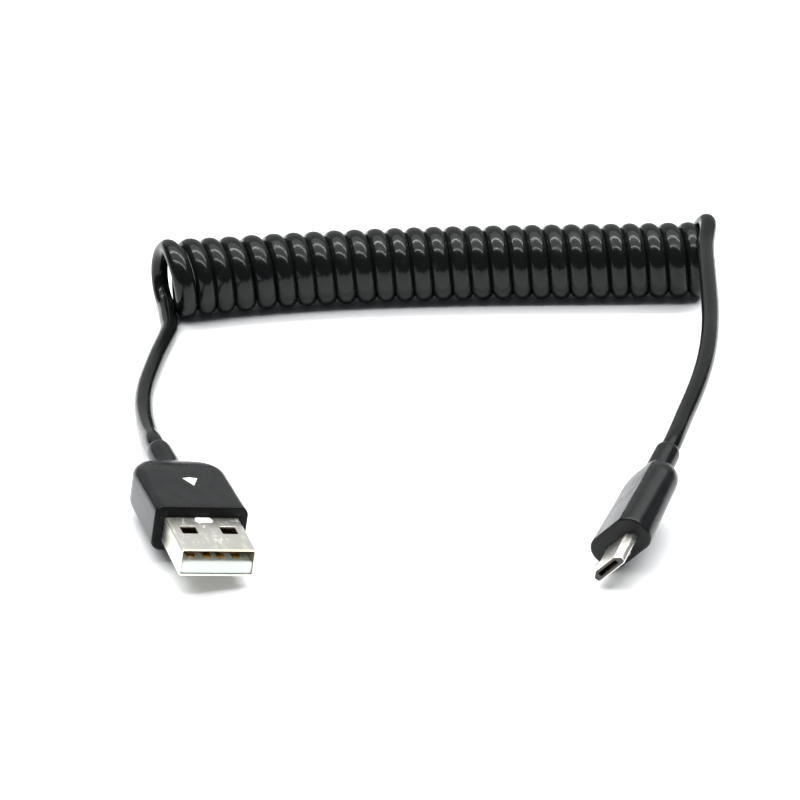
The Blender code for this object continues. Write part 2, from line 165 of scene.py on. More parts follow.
def smoothShade(mesh, sharp):  # degrees between faces that stay sharp
    mesh.shade_smooth()
    mesh.set_sharp_from_angle(angle=math.radians(sharp))


# Puts points (metres) and faces into a new object; the faces are turned round if the signed volume,
# a sixth of the sum of a . (b x c) over the triangles, says that they point inwards.
def meshPiece(name, points, quads, fans, shader, sharp):
    corners = np.concatenate([quads[:, :3], quads[:, [0, 2, 3]], fans])
    a, b, c = (points[corners[:, k]] - points.mean(0) for k in range(3))
    if (a * np.cross(b, c)).sum() < 0:
        quads, fans = quads[:, ::-1], fans[:, ::-1]
    mesh = bpy.data.meshes.new(name)
    mesh.from_pydata(points, [], quads.tolist() + fans.tolist())
    smoothShade(mesh, sharp)
    piece = bpy.data.objects.new(name, mesh)
    bpy.context.scene.collection.objects.link(piece)
    mesh.materials.append(shader.material)
    return piece


# A closed body: rows of points along it, each row closed round, with a fan from its middle over each end.
def solidPiece(name, rows, shader, sharp=40):
    count, around = rows.shape[:2]
    ring = np.arange(around)
    after = (ring + 1) % around
    start, end = count * around, count * around + 1
    first = np.stack([after, ring, np.full(around, start)], -1)
    last = np.stack([start - around + ring, start - around + after, np.full(around, end)], -1)
    points = np.concatenate([rows.reshape(-1, 3), rows[:1].mean(1), rows[-1:].mean(1)])
    return meshPiece(name, points, gridFaces(count, around), np.concatenate([first, last]), shader, sharp)


# A sleeve with a bore through it: its rows run down the outside, over the rim and back up the inside.
def sleevePiece(name, rows, shader, sharp=40):
    quads = gridFaces(*rows.shape[:2], wrapRows=True)
    return meshPiece(name, rows.reshape(-1, 3), quads, np.empty((0, 3), int), shader, sharp)


# Cuts closed shapes out of a piece and keeps only the result.
def cutOut(piece, cutters):
    for cutter in cutters:
        cut = piece.modifiers.new("cut", "BOOLEAN")
        cut.operation, cut.solver, cut.object = "DIFFERENCE", "EXACT", cutter
    bpy.context.view_layer.update()
    finished = bpy.data.meshes.new_from_object(piece.evaluated_get(bpy.context.evaluated_depsgraph_get()))
    piece.modifiers.clear()
    piece.data = finished
    smoothShade(finished, 30)
    for cutter in cutters:
        bpy.data.objects.remove(cutter, do_unlink=True)


def softEdges(piece, width, steps=2):
    edges = piece.modifiers.new("softEdges", "BEVEL")
    edges.width, edges.segments = width * mm, steps
    edges.limit_method, edges.angle_limit = "ANGLE", math.radians(30)
    edges.harden_normals = True


def seat(piece, *nodes):  # rides on the one body, and stands for these CAD nodes
    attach(piece, "root")
    if nodes:
        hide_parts(*nodes)
    return piece


# Each value as one array over all stations along a plug.
def overStations(*values):
    return np.broadcast_arrays(*(np.asarray(value, float) for value in values))


# The larger of two sizes with a fillet between them:
# (a + b + root of ((a - b) squared + fillet squared)) / 2.
def fillet(a, b, soft):
    return (a + b + np.sqrt((a - b) ** 2 + soft ** 2)) / 2


# Outlines x, z of rounded boxes: each corner is its centre plus radius times (cos, sin) over a
# quarter turn.
def roundedBox(halfWidth, top, bottom, radius, corner=12):
    halfWidth, top, bottom, radius = overStations(halfWidth, top, bottom, radius)
    radius = np.minimum(radius, 0.999 * np.minimum(halfWidth, (top + bottom) / 2))[..., None]
    quarter = np.linspace(0, math.pi / 2, corner)
    turn = np.concatenate([quarter + k * math.pi / 2 for k in range(4)])
    right, upper = np.repeat([1, -1, -1, 1], corner), np.repeat([1, 1, -1, -1], corner)
    x = right * (halfWidth[..., None] - radius) + radius * np.cos(turn)
    z = np.where(upper > 0, top[..., None] - radius, radius - bottom[..., None]) + radius * np.sin(turn)
    return np.stack([x, z], -1)


# Rows of points x, y, z in a plug's frame: each outline at its station y, moved sideways.
def loft(outlines, along, sideways=0.0):
    along, sideways = overStations(along, sideways)
    x = outlines[..., 0] + sideways[:, None]
    return np.stack([x, np.broadcast_to(along[:, None], x.shape), outlines[..., 1]], -1)


down = math.radians(camera["downward"])
aim = np.array(camera["aim"])
eye = bpy.data.cameras.new("photoCamera")
eye.lens, eye.sensor_width = camera["lens"], 36.0
eye.clip_start, eye.clip_end = 0.01, 20.0
viewer = bpy.data.objects.new("photoCamera", eye)
viewer.location = (aim + camera["distance"] * np.array([0, -math.cos(down), math.sin(down)])) * mm
viewer.rotation_euler = (math.pi / 2 - down, 0, 0)
bpy.context.scene.collection.objects.link(viewer)
bpy.context.scene.camera = viewer
print("camera placed")

coil = {
    "axis": ((-43.4, 78.6), (-24.4, 83.1), (-5.0, 86.0), (22.7, 87.1), (50.0, 87.9)),  # on the floor plan, mm
    "tops": (167, 190, 209, 228.6, 251, 273, 293, 313, 333.7, 353.7, 374.5, 394, 413.3, 432.8,
             452.3, 471.8, 492.5, 512.7, 531.5, 551, 570.6, 590, 610.3, 629, 648, 667.4, 687.2,
             704.4),  # pixel columns of the turns' tops
    "topAngle": 62.8,  # where a turn's outline is highest as the camera sees it, degrees up from the far side
    "radius": 5.18, "leftWider": 0.64, "fadeTurns": 3.0, "growsPerTurn": 0.011,  # mm, to the cord's middle
    "leftSwing": 0.59, "leftShift": 0.80, "leftFrom": -0.4244,  # mm, and the turn where the cord starts
    "openEnd": 1.6, "openFrom": 26.55, "openOver": 0.52,  # mm, and the turns over which the right end opens
    "perTurn": 40,
}
cordSize = {
    "diameter": 3.1, "flattened": 3.9, "sides": 24,  # mm; heat-set turns are pressed a little flat
    "pressed": 1.06,  # half width over half the room between turns: neighbours overlap slightly
    "inside": 3.0, "ahead": 3.1,  # how far it reaches into a strain relief, and straight out of it
    "spacing": 0.62, "trimmed": 5,  # mm between rings; helix points given up to a tail at each end
}
tailA = ((-43.00, 73.90, 1.55), (-42.62, 70.40, 1.55), (-43.00, 66.60, 1.55), (-43.96, 60.18, 1.55),
         (-44.68, 53.89, 1.55), (-45.21, 47.72, 1.55), (-45.18, 41.57, 1.60), (-44.44, 34.97, 1.85),
         (-43.06, 27.27, 2.85))
tailB = ((53.98, 80.90, 12.95), (53.40, 69.66, 12.4), (53.06, 62.21, 12.0), (52.61, 54.94, 11.6),
         (51.81, 47.44, 11.4), (50.71, 40.53, 11.0), (49.23, 33.79, 10.6), (47.45, 27.21, 10.2),
         (45.49, 20.78, 9.8))


# The pixel column of points: focal length in pixels times sideways distance over depth, from the
# picture's middle.
def pixelColumn(points):
    toward = np.array([0, math.cos(down), -math.sin(down)])
    there = points - aim + camera["distance"] * toward
    focal = camera["lens"] / eye.sensor_width * camera["picture"]
    return camera["picture"] / 2 + focal * there[:, 0] / (there @ toward)


# Round a gently curved axis that lies a cord's radius and the coil's radius above the floor: centre
# plus radius times (cos angle across, sin angle up), with each turn's top on its measured column.
# Also half the room between neighbouring turns at each point.
def helix():
    x = np.linspace(-60, 75, 4001)
    y = np.polyval(np.polyfit(*np.array(coil["axis"]).T, 3), x)
    slope = np.gradient(y, x)
    across = np.column_stack([-slope, np.ones_like(x), np.zeros_like(x)]) / np.sqrt(1 + slope ** 2)[:, None]
    up = np.array([0, 0, 1.0])
    topAngle, radius = math.radians(coil["topAngle"]), coil["radius"]
    middle = np.column_stack([x, y, np.full(len(x), radius + cordSize["diameter"] / 2)])
    tops = middle + radius * (math.cos(topAngle) * across + math.sin(topAngle) * up)
    topX = np.interp(coil["tops"], pixelColumn(tops), x)
    turns = np.arange(len(topX))
    last = turns[-1]
    count = int((last + 0.5) * coil["perTurn"]) + 1
    angle = np.linspace(-math.pi / 2, math.pi / 2 + 2 * math.pi * last, count)
    turn = (angle - topAngle) / (2 * math.pi)
    where = np.interp(turn, turns, topX) + np.clip(turn - last, 0, None) * np.diff(topX).mean()
    kernel = np.hanning(coil["perTurn"] // 2 + 1)
    padded = np.pad(where, len(kernel) // 2, mode="reflect", reflect_type="odd")
    where = np.convolve(padded, kernel / kernel.sum(), mode="valid")
    wider = coil["leftWider"] * np.exp(-np.clip(turn, 0, None) / coil["fadeTurns"])
    radius = coil["radius"] + wider + coil["growsPerTurn"] * turn
    base = np.column_stack([where, np.interp(where, x, y), radius + cordSize["diameter"] / 2])
    side = np.column_stack([np.interp(where, x, across[:, k]) for k in range(3)])
    path = base + radius[:, None] * (np.cos(angle)[:, None] * side + np.sin(angle)[:, None] * up)
    room = np.gradient(where, turn) / 2
    # The last half turn on the left swings out, then back under the next.
    leftEnd = np.clip(turn / coil["leftFrom"], 0, 1)
    path[:, 0] -= coil["leftSwing"] * np.sin(np.pi * leftEnd) + coil["leftShift"] * leftEnd ** 2
    rightEnd = np.clip((turn - coil["openFrom"]) / coil["openOver"], 0, 1)  # the last turn stands open
    path[:, 2] += coil["openEnd"] * rightEnd ** 2 * (3 - 2 * rightEnd)
    return path, room


# Points at even spacing along a curve.
def evenly(curve, spacing):
    run = np.concatenate([[0], np.cumsum(np.linalg.norm(np.diff(curve[:, :3], axis=0), axis=1))])
    wanted = np.linspace(0, run[-1], max(2, int(run[-1] / spacing)) + 1)
    return np.column_stack([np.interp(wanted, run, curve[:, k]) for k in range(curve.shape[1])])


# A Catmull-Rom curve: half of 2b + (c - a)t + (2a - 5b + 4c - d)t squared + (3b - a - 3c + d)t cubed.
def smoothThrough(points, spacing=0.55):
    points = np.asarray(points, float)
    ends = np.vstack([2 * points[0] - points[1], points, 2 * points[-1] - points[-2]])
    t = np.linspace(0, 1, 24, endpoint=False)[None, :, None]
    a, b, c, d = (ends[k:len(ends) - 3 + k][:, None] for k in range(4))
    curve = 2 * b + (c - a) * t + (2 * a - 5 * b + 4 * c - d) * t ** 2 + (3 * b - a - 3 * c + d) * t ** 3
    curve = 0.5 * curve
    return evenly(np.vstack([curve.reshape(-1, 3), points[-1]]), spacing)


overmouldA = {
    "front": 11.35, "length": 20.9,
    "frontHalf": 7.55, "frontSide": -0.22, "rearHalf": 7.6, "rearSide": -0.25,
    "top": 4.07, "topFall": 0.72, "bottom": 3.58, "edge": 1.55, "frontEdge": 0.3,
    "corner": 6.8, "squareness": 2.45, "cornerSoft": 1.6,
    "neck": 2.3, "collar": 2.08, "end": 41.8, "flare": 0.45, "endEdge": 1.4, "pocketDeep": 1.4,
}
overmouldB = {
    "front": 6.2, "length": 18.6, "half": 5.68,
    "top": 3.15, "rearTop": 2.75, "bottom": 3.2, "rearBottom": 2.9,
    "edge": 2.75, "frontEdge": 0.42, "wideCorner": 4.2, "highCorner": 6.0,
    "neck": 2.1, "collar": 2.08, "end": 32.0, "flare": 0.25, "endEdge": 1.1, "pocketDeep": 1.4,
}


# Plug A's strain relief, left tail, helix, right tail and plug B's strain relief, rounded off by a
# running mean; the fourth column is the cord's half width along the coil's axis.
def cordRoute():
    half, flat = cordSize["diameter"] / 2, cordSize["flattened"] / 2
    endA, endB = overmouldA["end"], overmouldB["end"]
    inside, ahead, trimmed = cordSize["inside"], cordSize["ahead"], cordSize["trimmed"]
    exitA = inPlug(plugA, [(0, endA - inside, 0), (0, endA, 0), (0, endA + ahead, 0)]) / mm
    exitB = inPlug(plugB, [(0, endB + ahead, 0), (0, endB, 0), (0, endB - inside, 0)]) / mm
    wound, room = helix()
    left = smoothThrough(np.vstack([exitA, tailA[::-1], wound[1:7:2]]))
    right = smoothThrough(np.vstack([wound[-5::2], tailB, exitB]))
    pressed = np.clip(room[trimmed:-trimmed] * cordSize["pressed"], half, flat)
    plain = [np.column_stack([part, np.full(len(part), half)]) for part in (left[:-1], right[1:])]
    turned = np.column_stack([wound[trimmed:-trimmed], pressed])
    route = evenly(np.vstack([plain[0], turned, plain[1]]), cordSize["spacing"])
    for _ in range(3):
        route[1:-1] = (route[:-2] + 2 * route[1:-1] + route[2:]) / 4
    for _ in range(12):
        route[1:-1, 3] = (route[:-2, 3] + 2 * route[1:-1, 3] + route[2:, 3]) / 4
    return route


# An oval carried along the route: centre plus width times cos along the coil's axis, plus height
# times sin across it; the axis is made square to the route at every ring.
def cordRows(route):
    centre = route[:, :3]
    step = np.gradient(centre, axis=0)
    along = step / np.linalg.norm(step, axis=1, keepdims=True)
    axis = np.array([*(np.array(coil["axis"][-1]) - coil["axis"][0]), 0.0])
    wide = axis - along * (along @ axis)[:, None]
    wide /= np.linalg.norm(wide, axis=1, keepdims=True)
    high = np.cross(along, wide)
    angle = np.linspace(0, 2 * math.pi, cordSize["sides"], endpoint=False)
    width = route[:, 3][:, None, None] * np.cos(angle)[None, :, None] * wide[:, None]
    return centre[:, None] + width + cordSize["diameter"] / 2 * np.sin(angle)[None, :, None] * high[:, None]


def cordPvc():  # glossy black jacket: slow waves in the gloss, a few rubbed places and a little dust
    made = Shader("cordPvc", "cord_pvc")
    place = made.place()
    waves, rubbed = made.noise(place, 210.0, 2.0), made.noise(place, 700.0, 3.0)
    specks = made.noise(place, 5200.0, 1.0).step(0.76, 0.80)
    colour = made.blend(specks * 0.3, (0.0046, 0.0052, 0.0052), (0.05, 0.052, 0.05))
    rough = 0.13 + 0.06 * waves + 0.12 * rubbed.step(0.52, 0.7)
    return made.finish(Base_Color=colour, Roughness=rough, Specular_IOR_Level=0.23,
                       Normal=made.relief(waves, 0.12, 0.0004))


route = cordRoute()
cord = solidPiece("cord", cordRows(route) * mm, cordPvc(), sharp=80)
seat(cord, "tail_a", "coil", "tail_b")


# The printed pointer, in mm from the mark's middle; notch and widens are slopes.
pointer = {"tip": 2.0, "back": 1.5, "notch": 0.3, "widens": 0.42, "half": 0.86, "soft": 0.15}


# Satin moulded plastic: flow streaks along the plug, smudges, and a matt front face whose darker colour
# is painted shade. A plain pointer, an arrowhead towards the mouth, is printed where the mark's middle
# is given: inside all its sides.
def bodyPvc(name, plug, mould, streaky, gloss, mark=None):
    made = Shader(name, "black_pvc")
    place = made.placeIn(plug)
    x, y, z = made.parted(place)
    streaks, grain = made.noise(place, (1.3, 0.05, 1.3), 2.0), made.noise(place, 5.0, 3.0)
    smudge = made.noise(place, (0.55, 0.22, 0.55), 3.0)
    front = y.step(mould["front"] + 0.25, mould["front"] + 0.05)
    scuffs = (made.noise(place, (0.55, 0.21, 0.55), 2.0) - 0.5).math("ABSOLUTE").step(0.032, 0.0)
    scuffs = scuffs * made.noise(place, 0.31, 2.0).step(0.50, 0.60) * z.step(2.0, 3.0)
    colour = made.blend(smudge.step(0.35, 0.7), (0.0062, 0.0066, 0.0070), (0.0098, 0.0106, 0.0108))
    # painted shade: the front face gets a darker colour than the rest of the body
    colour = made.blend(front, colour, (0.004, 0.004, 0.0045))
    rough = 0.14 + 0.07 * smudge + 0.03 * grain + streaky * streaks + 0.22 * front + 0.12 * scuffs
    if mark:
        along, across = y - mark[1], (x - mark[0]).math("ABSOLUTE")
        soft = pointer["soft"]
        tip = (along + pointer["tip"]).step(0.0, soft)
        back = (pointer["back"] - along - across * pointer["notch"]).step(0.0, soft)
        sides = (along * pointer["widens"] + pointer["half"] - across).step(0.0, soft)
        printed = tip * back * sides * z.step(0.0, 0.5)
        colour = made.blend(printed, colour, (0.66, 0.68, 0.68))
    return made.finish(Base_Color=colour, Roughness=rough, Specular_IOR_Level=gloss,
                       Normal=made.relief(smudge + 0.15 * grain - 0.6 * scuffs, 0.10, 0.0003))


# Nickel plate: drag lines along the plug, stray scratches across them, and a warm painted highlight on the
# rim at the mouth.
def platedSteel(name, plug):
    made = Shader(name, "plated_steel")
    place = made.placeIn(plug)
    y, z = made.parted(place)[1:]
    drawn = made.noise(place, (7.0, 0.35, 7.0), 3.0, 0.6)
    patch = made.noise(place, 0.45, 3.0)
    stray = made.noise(place, (0.9, 0.28, 0.9), 2.0)
    lines = (stray - 0.5).math("ABSOLUTE").step(0.035, 0.0) * patch.step(0.44, 0.56)
    tone = made.blend(patch, (0.84, 0.825, 0.76), (0.76, 0.745, 0.67))
    colour = made.blend(lines * 0.8, tone, (0.97, 0.96, 0.90))
    # painted highlight: a warm, bright rim at the mouth, strongest on the upper side
    colour = made.blend(y.step(0.32, 0.10) * z.step(-1.2, 1.2), colour, (0.98, 0.86, 0.64))
    rough = 0.24 + 0.10 * drawn + 0.10 * patch + 0.12 * lines
    return made.finish(Base_Color=colour, Metallic=1.0, Roughness=rough,
                       Normal=made.relief(drawn + 2.0 * lines, 0.10, 0.00006))


# Slightly green insulator, clean at the mouth and in deep shade behind it.
def whitePlastic():
    made = Shader("whitePlastic", "white_plastic")
    place = made.placeIn(plugA)
    y, z = made.parted(place)[1:]
    cloudy = made.noise(place, 0.6, 2.0)
    shade = y.step(0.5, 4.5) * z.step(2.0, 1.9)
    colour = made.blend(cloudy, (0.80, 0.87, 0.81), (0.88, 0.93, 0.88))
    colour = made.blend(shade, colour, (0.16, 0.12, 0.07))
    return made.finish(Base_Color=colour, Roughness=0.30 + 0.12 * cloudy)


def greyPlastic():  # the micro plug's insert, with painted shade making it darker down its slot
    made = Shader("greyPlastic", "grey_plastic")
    place = made.placeIn(plugB)
    y = made.parted(place)[1]
    cloudy = made.noise(place, 0.9, 3.0)
    colour = made.blend(cloudy, (0.030, 0.031, 0.032), (0.042, 0.043, 0.044))
    # painted shade: the insert turns darker from 0.6 mm behind its face, down the slot
    colour = made.blend(y.step(0.25, 0.6), colour, (0.008, 0.008, 0.009))
    return made.finish(Base_Color=colour, Roughness=0.42 + 0.15 * cloudy,
                       Normal=made.relief(cloudy, 0.1, 0.0001))


def contactBrass():  # contact strips, darkened to brown as painted shade, with a few gilt patches
    made = Shader("contactBrass", "brass")
    worn = made.noise(made.place(), 900.0, 3.0)
    # painted shade: both brass tones are kept darker than the metal's own colour
    colour = made.blend(worn.step(0.42, 0.62), (0.46, 0.29, 0.10), (0.26, 0.15, 0.05))
    return made.finish(Base_Color=colour, Metallic=1.0, Roughness=0.26 + 0.2 * worn)


pvcA = bodyPvc("bodyPvcA", plugA, overmouldA, 0.04, 0.14, mark=(0.35, 21.6))
pvcB = bodyPvc("bodyPvcB", plugB, overmouldB, 0.14, 0.25)
nickelA, nickelB = platedSteel("platedSteelA", plugA), platedSteel("platedSteelB", plugB)
white, grey, gilt = whitePlastic(), greyPlastic(), contactBrass()
print("materials made")


# Stations along a moulded plug: close together round the shoulder and the end of the collar.
def stations(mould, corner):
    front, rear = mould["front"] + mould["frontEdge"], mould["front"] + mould["length"]
    shoulder = rear - corner * (1 - np.sin(np.linspace(0, math.pi / 2, 26)))
    behind = rear + np.array([0.25, 0.5, 0.8, 1.2, 1.8, 2.6, 3.6])
    straight = np.linspace(rear + 4.2, mould["end"] - mould["endEdge"] - 0.4, 5)
    return np.concatenate([np.linspace(front + 0.3, rear - corner - 0.6, 10), shoulder, behind, straight])


# Rows round the front face: pocket floor, pocket mouth, then a quarter circle of frontEdge out to
# the first outline.
def frontRows(outline, pocket, mould, sideways=0.0, pocketSide=0.0):
    front, edge = mould["front"], mould["frontEdge"]
    turn = np.linspace(0, math.pi / 2, 6)
    inset = edge * (1 - np.sin(turn))
    centre = outline.mean(0)
    outward = outline - centre
    rim = centre + outward * (1 - inset[:, None, None] / np.abs(outward).max(0))
    return np.concatenate([
        loft(pocket[None], [front + mould["pocketDeep"]], pocketSide),
        loft(pocket[None], [front + 0.12], pocketSide),
        loft(pocket[None] * (1.02, 1.04), [front], pocketSide),
        loft(rim, front + edge * (1 - np.cos(turn)), sideways)])


# The rounded end of the collar: a quarter oval in to the cord, then a short way down into the cord's hole.
def endRows(mould):
    edge, radius = mould["endEdge"], mould["collar"]
    hole = cordSize["diameter"] / 2 - 0.05
    turn = np.linspace(0, math.pi / 2, 9)
    size = radius - (radius - hole) * (1 - np.cos(turn))
    unit = roundedBox(1.0, 1.0, 1.0, 1.0)
    rounded = loft(unit * size[:, None, None], mould["end"] - edge * (1 - np.sin(turn)))
    return np.concatenate([rounded, loft(unit[None] * hole, [mould["end"] - edge - 0.2])])


# The share of a rounded corner that is gone at each station: 1 - (1 - share to the power) to the one over it.
def gone(along, rear, corner, power=2.0):
    share = np.clip((along - (rear - corner)) / corner, 0, 1)
    return 1 - np.clip(1 - share ** power, 0, 1) ** (1 / power)


# The neck narrows evenly to the collar, with a flare that starts ahead of the body's rear and fades.
flareStart, flareFade = 1.5, 1.1  # mm


def neckRadius(mould, along):
    rear = mould["front"] + mould["length"]
    share = np.clip((along - rear) / (mould["end"] - rear), 0, 1)
    away = np.maximum(along - rear, -flareStart)
    flare = mould["flare"] * np.exp(-(away + flareStart) / flareFade)
    return mould["neck"] + (mould["collar"] - mould["neck"]) * share + flare


# Plug A's moulding: a flat box with rounded edges that falls slightly to the rear, rounds off to the
# neck, and runs out as a round collar.
def usbAOvermould():
    mould = overmouldA
    rear = mould["front"] + mould["length"]
    along = stations(mould, mould["corner"])
    share = np.clip((along - mould["front"]) / mould["length"], 0, 1)
    cut = gone(along, rear, mould["corner"], mould["squareness"])
    soft = gone(along, rear, mould["corner"])
    neck = neckRadius(mould, along)
    halfWidth = mould["frontHalf"] + (mould["rearHalf"] - mould["frontHalf"]) * share
    halfWidth = halfWidth - mould["rearHalf"] * cut
    top = mould["top"] - mould["topFall"] * share - mould["cornerSoft"] * soft
    bottom = mould["bottom"] - mould["cornerSoft"] * soft
    behind = along > rear
    halfWidth, top, bottom = (
        fillet(np.where(behind, 0, size), neck, 0.35) for size in (halfWidth, top, bottom))
    radius = mould["edge"] + (neck - mould["edge"]) * np.clip((cut - 0.25) / 0.6, 0, 1)
    sideways = mould["frontSide"] + (mould["rearSide"] - mould["frontSide"]) * share
    sideways = sideways * np.clip(1 - (along - rear) / 3, 0, 1)
    body = loft(roundedBox(halfWidth, top, bottom, radius), along, sideways)
    first = roundedBox(mould["frontHalf"], mould["top"], mould["bottom"], mould["edge"])
    pocketHalf = shellA["halfHeight"] + 0.05
    pocket = roundedBox(shellA["halfWidth"] + 0.05, pocketHalf, pocketHalf, 0.5)
    front = frontRows(first, pocket, mould, mould["frontSide"], shellA["sideways"])
    rows = np.concatenate([front, body, endRows(mould)])
    return seat(solidPiece("usbAOvermould", inPlug(plugA, rows), pvcA, 50), "usb_a_overmould")


# Plug B's moulding: flat above and below with round sides; it thins and narrows to the round collar.
def microOvermould():
    mould = overmouldB
    rear = mould["front"] + mould["length"]
    along = stations(mould, mould["highCorner"])
    share = np.clip((along - mould["front"]) / (mould["length"] - mould["highCorner"]), 0, 1)
    wideCut = gone(along, rear, mould["wideCorner"])
    highCut = gone(along, rear, mould["highCorner"])
    neck = neckRadius(mould, along)
    halfWidth = mould["half"] - (mould["half"] - neck) * wideCut
    top = mould["top"] + (mould["rearTop"] - mould["top"]) * share
    bottom = mould["bottom"] + (mould["rearBottom"] - mould["bottom"]) * share
    top, bottom = (size - (size - neck) * highCut for size in (top, bottom))
    behind = along > rear
    halfWidth, top, bottom = (
        fillet(np.where(behind, 0, size), neck, 0.2) for size in (halfWidth, top, bottom))
    body = loft(roundedBox(halfWidth, top, bottom, mould["edge"]), along)
    first = roundedBox(mould["half"], mould["top"], mould["bottom"], mould["edge"])
    rows = np.concatenate([frontRows(first, microOutline(0.05, 12), mould), body, endRows(mould)])
    return seat(solidPiece("microOvermould", inPlug(plugB, rows), pvcB, 50), "micro_overmould")


shellA = {
    "halfWidth": 6.0, "halfHeight": 2.25, "corner": 0.45, "wall": 0.3, "length": 12.6, "sideways": -0.15,
    "window": (2.5, 2.6), "windowFrom": 5.6, "windowSide": 3.2,
    "key": (2.8, 1.85), "keyFrom": 9.45, "keyCorner": 0.6,
}
tongueA = {"top": 0.1, "half": 5.69, "bottom": 1.93, "from": 0.16, "block": 11.0, "length": 12.6, "edge": 0.3}
contactsA = {"sides": (-4.0, -1.5, 0.7, 3.2), "halfWidth": 0.62, "halfThick": 0.12, "level": 0.3, "to": 10.9}
shellB = {
    "half": 3.425, "narrow": 2.3, "high": 0.9, "lean": 0.07, "corner": 0.5, "lift": -0.12,
    "wall": 0.14, "length": 7.4, "recess": 0.04, "slot": (4.4, 0.75), "slotDeep": 5.8,
}
latchB = {"side": 1.9, "halfWidth": 0.35, "halfThick": 0.1, "from": 2.4, "to": 4.5, "rise": 0.45}
contactsB = {"pitch": 0.65, "halfWidth": 0.2, "halfThick": 0.06, "from": 0.8, "to": 5.9}


# The micro shell's outline, grown by a distance: arcs round its lower corners, and small arcs where
# the upper sides lean in to the narrow side.
def microOutline(grow=0.0, corner=10):
    half, high, narrow, lean, radius = (shellB[key] for key in ("half", "high", "narrow", "lean", "corner"))
    slope = math.atan2(half - narrow, high - lean)  # the leaning side's outward angle
    small = 0.15
    turns = (np.linspace(-math.pi / 2, 0, corner), np.linspace(0, math.pi / 2 - slope, corner // 2),
             np.linspace(math.pi / 2 - slope, math.pi / 2, corner - corner // 2))
    centres = ((half - radius, radius - high), (half - small, lean - 0.04), (narrow - 0.04, high - small))
    lower, side, top = (
        np.array(centre) + (size + grow) * np.column_stack([np.cos(turn), np.sin(turn)])
        for centre, size, turn in zip(centres, (radius, small, small), turns))
    upper = np.concatenate([side, top])
    mirror = (-1, 1)
    outline = np.concatenate([upper, upper[::-1] * mirror, lower[::-1] * mirror, lower])
    return outline + (0, shellB["lift"])


# A shape with its outline on the plan (x, y) and straight sides, between two heights; it serves as a cutter.
def planBlock(plug, centre, size, corner, low, high, shader):
    outline = roundedBox(size[0] / 2, size[1] / 2, size[1] / 2, corner, 6) + centre
    rows = np.stack([np.column_stack([outline, np.full(len(outline), z)]) for z in (low, high)])
    return solidPiece("planBlock", inPlug(plug, rows), shader)


# A strip with a rounded section carried along a path in the plug's y, z plane.
def stripRows(path, side, halfWidth, halfThick):
    path = np.asarray(path, float)
    step = np.gradient(path, axis=0)
    along = step / np.linalg.norm(step, axis=1, keepdims=True)
    normal = np.column_stack([-along[:, 1], along[:, 0]])
    section = roundedBox(halfWidth, halfThick, halfThick, halfThick * 0.6, 4)
    x = np.broadcast_to(side + section[:, 0], (len(path), len(section)))
    yz = path[:, None] + section[:, 1][None, :, None] * normal[:, None]
    return np.concatenate([x[..., None], yz], -1)


# A folded shell: down the outside from its root to its mouth, and back up the inside, a wall further in.
def shellRows(outer, inner, length, sideways=0.0):
    return np.concatenate([loft(np.stack([outer, outer]), [length, 0.0], sideways),
                           loft(np.stack([inner, inner]), [0.0, length], sideways)])


def usbAShell():
    size = shellA
    wall, shift = size["wall"], size["sideways"]
    outer = roundedBox(size["halfWidth"], size["halfHeight"], size["halfHeight"], size["corner"])
    inside = size["halfHeight"] - wall
    inner = roundedBox(size["halfWidth"] - wall, inside, inside, size["corner"] - 0.2)
    shell = sleevePiece("usbAShell", inPlug(plugA, shellRows(outer, inner, size["length"], shift)), nickelA)
    low, high = inside - 0.4, size["halfHeight"] + 0.4
    middle = size["windowFrom"] + size["window"][1] / 2
    cutters = [planBlock(plugA, (side + shift, middle), size["window"], 0.25, low, high, nickelA)
               for side in (-size["windowSide"], size["windowSide"])]
    key = (shift, size["keyFrom"] + size["key"][1] / 2)
    cutters.append(planBlock(plugA, key, size["key"], size["keyCorner"], low, high, nickelA))
    cutOut(shell, cutters)
    softEdges(shell, 0.07)
    seat(shell, "usb_a_shell")
    padSize = (size["key"][0] - 0.06, size["key"][1] - 0.06)
    pad = planBlock(plugA, key, padSize, size["keyCorner"] - 0.03, 1.0, size["halfHeight"] + 0.02, white)
    pad.name = "usbAKey"
    softEdges(pad, 0.08)
    seat(pad)


# The insulator's tongue has a quarter circle round its nose, and its block closes the shell behind.
def usbATongue():
    size = tongueA
    edge, half = size["edge"], size["half"]
    turn = np.linspace(0, math.pi / 2, 6)
    inset = edge * (1 - np.sin(turn))
    nose = roundedBox(half - inset, size["top"] - inset, size["bottom"] - inset, 0.35 - inset * 0.4)
    slab = roundedBox(half, size["top"], size["bottom"], 0.35)
    block = roundedBox(half, size["bottom"], size["bottom"], 0.3)
    blockAlong = [size["block"], size["block"] + 0.05, size["length"]]
    rows = np.concatenate([
        loft(nose, size["from"] + edge * (1 - np.cos(turn)), shellA["sideways"]),
        loft(np.stack([slab, block, block]), blockAlong, shellA["sideways"])])
    seat(solidPiece("usbATongue", inPlug(plugA, rows), white), "usb_a_tongue")
    level = contactsA["level"]
    path = [(1.55, level - 0.35), (1.62, level - 0.18), (1.8, level - 0.05), (2.1, level),
            (5.0, level + 0.02), (contactsA["to"], level)]
    for number, side in enumerate(contactsA["sides"], 1):
        rows = stripRows(path, side, contactsA["halfWidth"], contactsA["halfThick"])
        strip = solidPiece(f"usbAContact{number}", inPlug(plugA, rows), gilt)
        seat(strip, f"usb_a_contact_{number}")


